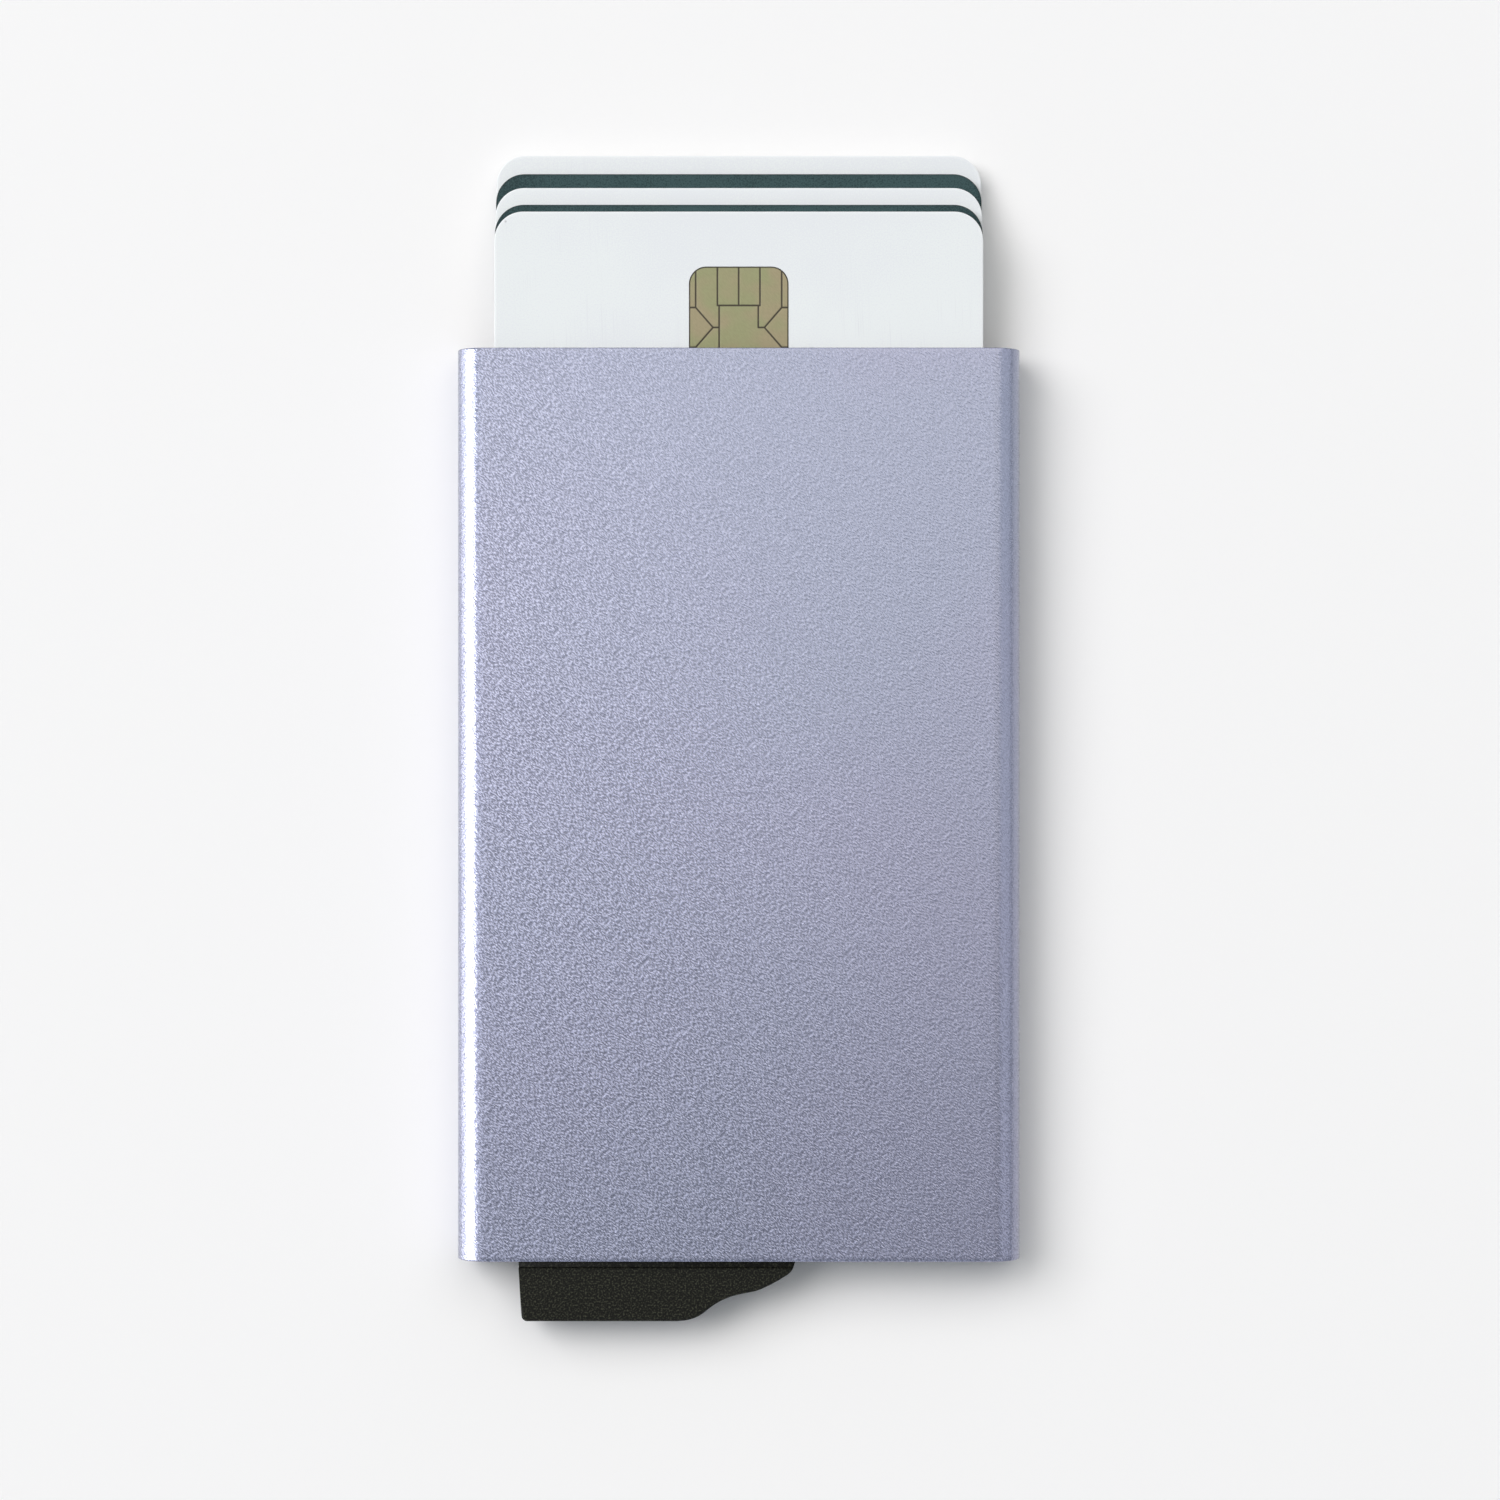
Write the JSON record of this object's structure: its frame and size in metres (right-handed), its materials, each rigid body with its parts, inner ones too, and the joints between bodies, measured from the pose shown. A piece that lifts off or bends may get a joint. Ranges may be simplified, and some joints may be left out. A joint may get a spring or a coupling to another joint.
{
  "type": "pop-up card case",
  "caption": "Rigid pop-up card case: flat aluminium sleeve with fanned cards at its mouth and a pivoted stepped lever whose finger tab stands out below.",
  "frame": {"origin": "centre of the sleeve's flat back face", "axes": "+X across the case to the right, seen from the front; +Y along the cards, out of the mouth; +Z out of the front face"},
  "size_m": [0.0622, 0.1294, 0.008],
  "materials": {
    "sleeve": "bead-blasted and anodised in a satin lavender",
    "lever_plastic": "black, fine spark-eroded grain",
    "frame_plastic": "black, smooth moulded",
    "steel": "ground pin",
    "felt": "dense dark felt",
    "card_white": "white laminated PVC",
    "card_green": "dark green laminated PVC",
    "contacts": "thin gilt plate with etched separations"
  },
  "bodies": {
    "root": {"case_shell": "sleeve", "end_frame": "frame_plastic", "end_frame_cover": "frame_plastic", "lever_pin": "steel", "side_guide_left": "frame_plastic", "side_guide_right": "frame_plastic", "edge_felt_left": "felt", "edge_felt_right": "felt", "front_pad_left": "felt", "front_pad_right": "felt", "back_pad_left": "felt", "back_pad_right": "felt"},
    "lever": {"lever": "lever_plastic"},
    "card_1": {"card_1": "card_white", "chip_contacts": "contacts"},
    "card_2": {"card_2": "card_green"},
    "card_3": {"card_3": "card_white"},
    "card_4": {"card_4": "card_green"},
    "card_5": {"card_5": "card_white"}
  },
  "joints": [
    {"name": "lever_pivot", "type": "hinge", "parent": "root", "child": "lever", "pos_m": [-0.02077, -0.04495, 0.004], "axis": [0, 0, 1], "range_deg": [0, 40.5]},
    {"name": "card_1_slide", "type": "slide", "parent": "root", "child": "card_1", "axis": [0, 1, 0], "range_m": [-0.0166, 0.0684]},
    {"name": "card_2_slide", "type": "slide", "parent": "root", "child": "card_2", "axis": [0, 1, 0], "range_m": [-0.0175, 0.0675]},
    {"name": "card_3_slide", "type": "slide", "parent": "root", "child": "card_3", "axis": [0, 1, 0], "range_m": [-0.0195, 0.0655]},
    {"name": "card_4_slide", "type": "slide", "parent": "root", "child": "card_4", "axis": [0, 1, 0], "range_m": [-0.0212, 0.0638]},
    {"name": "card_5_slide", "type": "slide", "parent": "root", "child": "card_5", "axis": [0, 1, 0], "range_m": [-0.0234, 0.0616]}
  ]
}
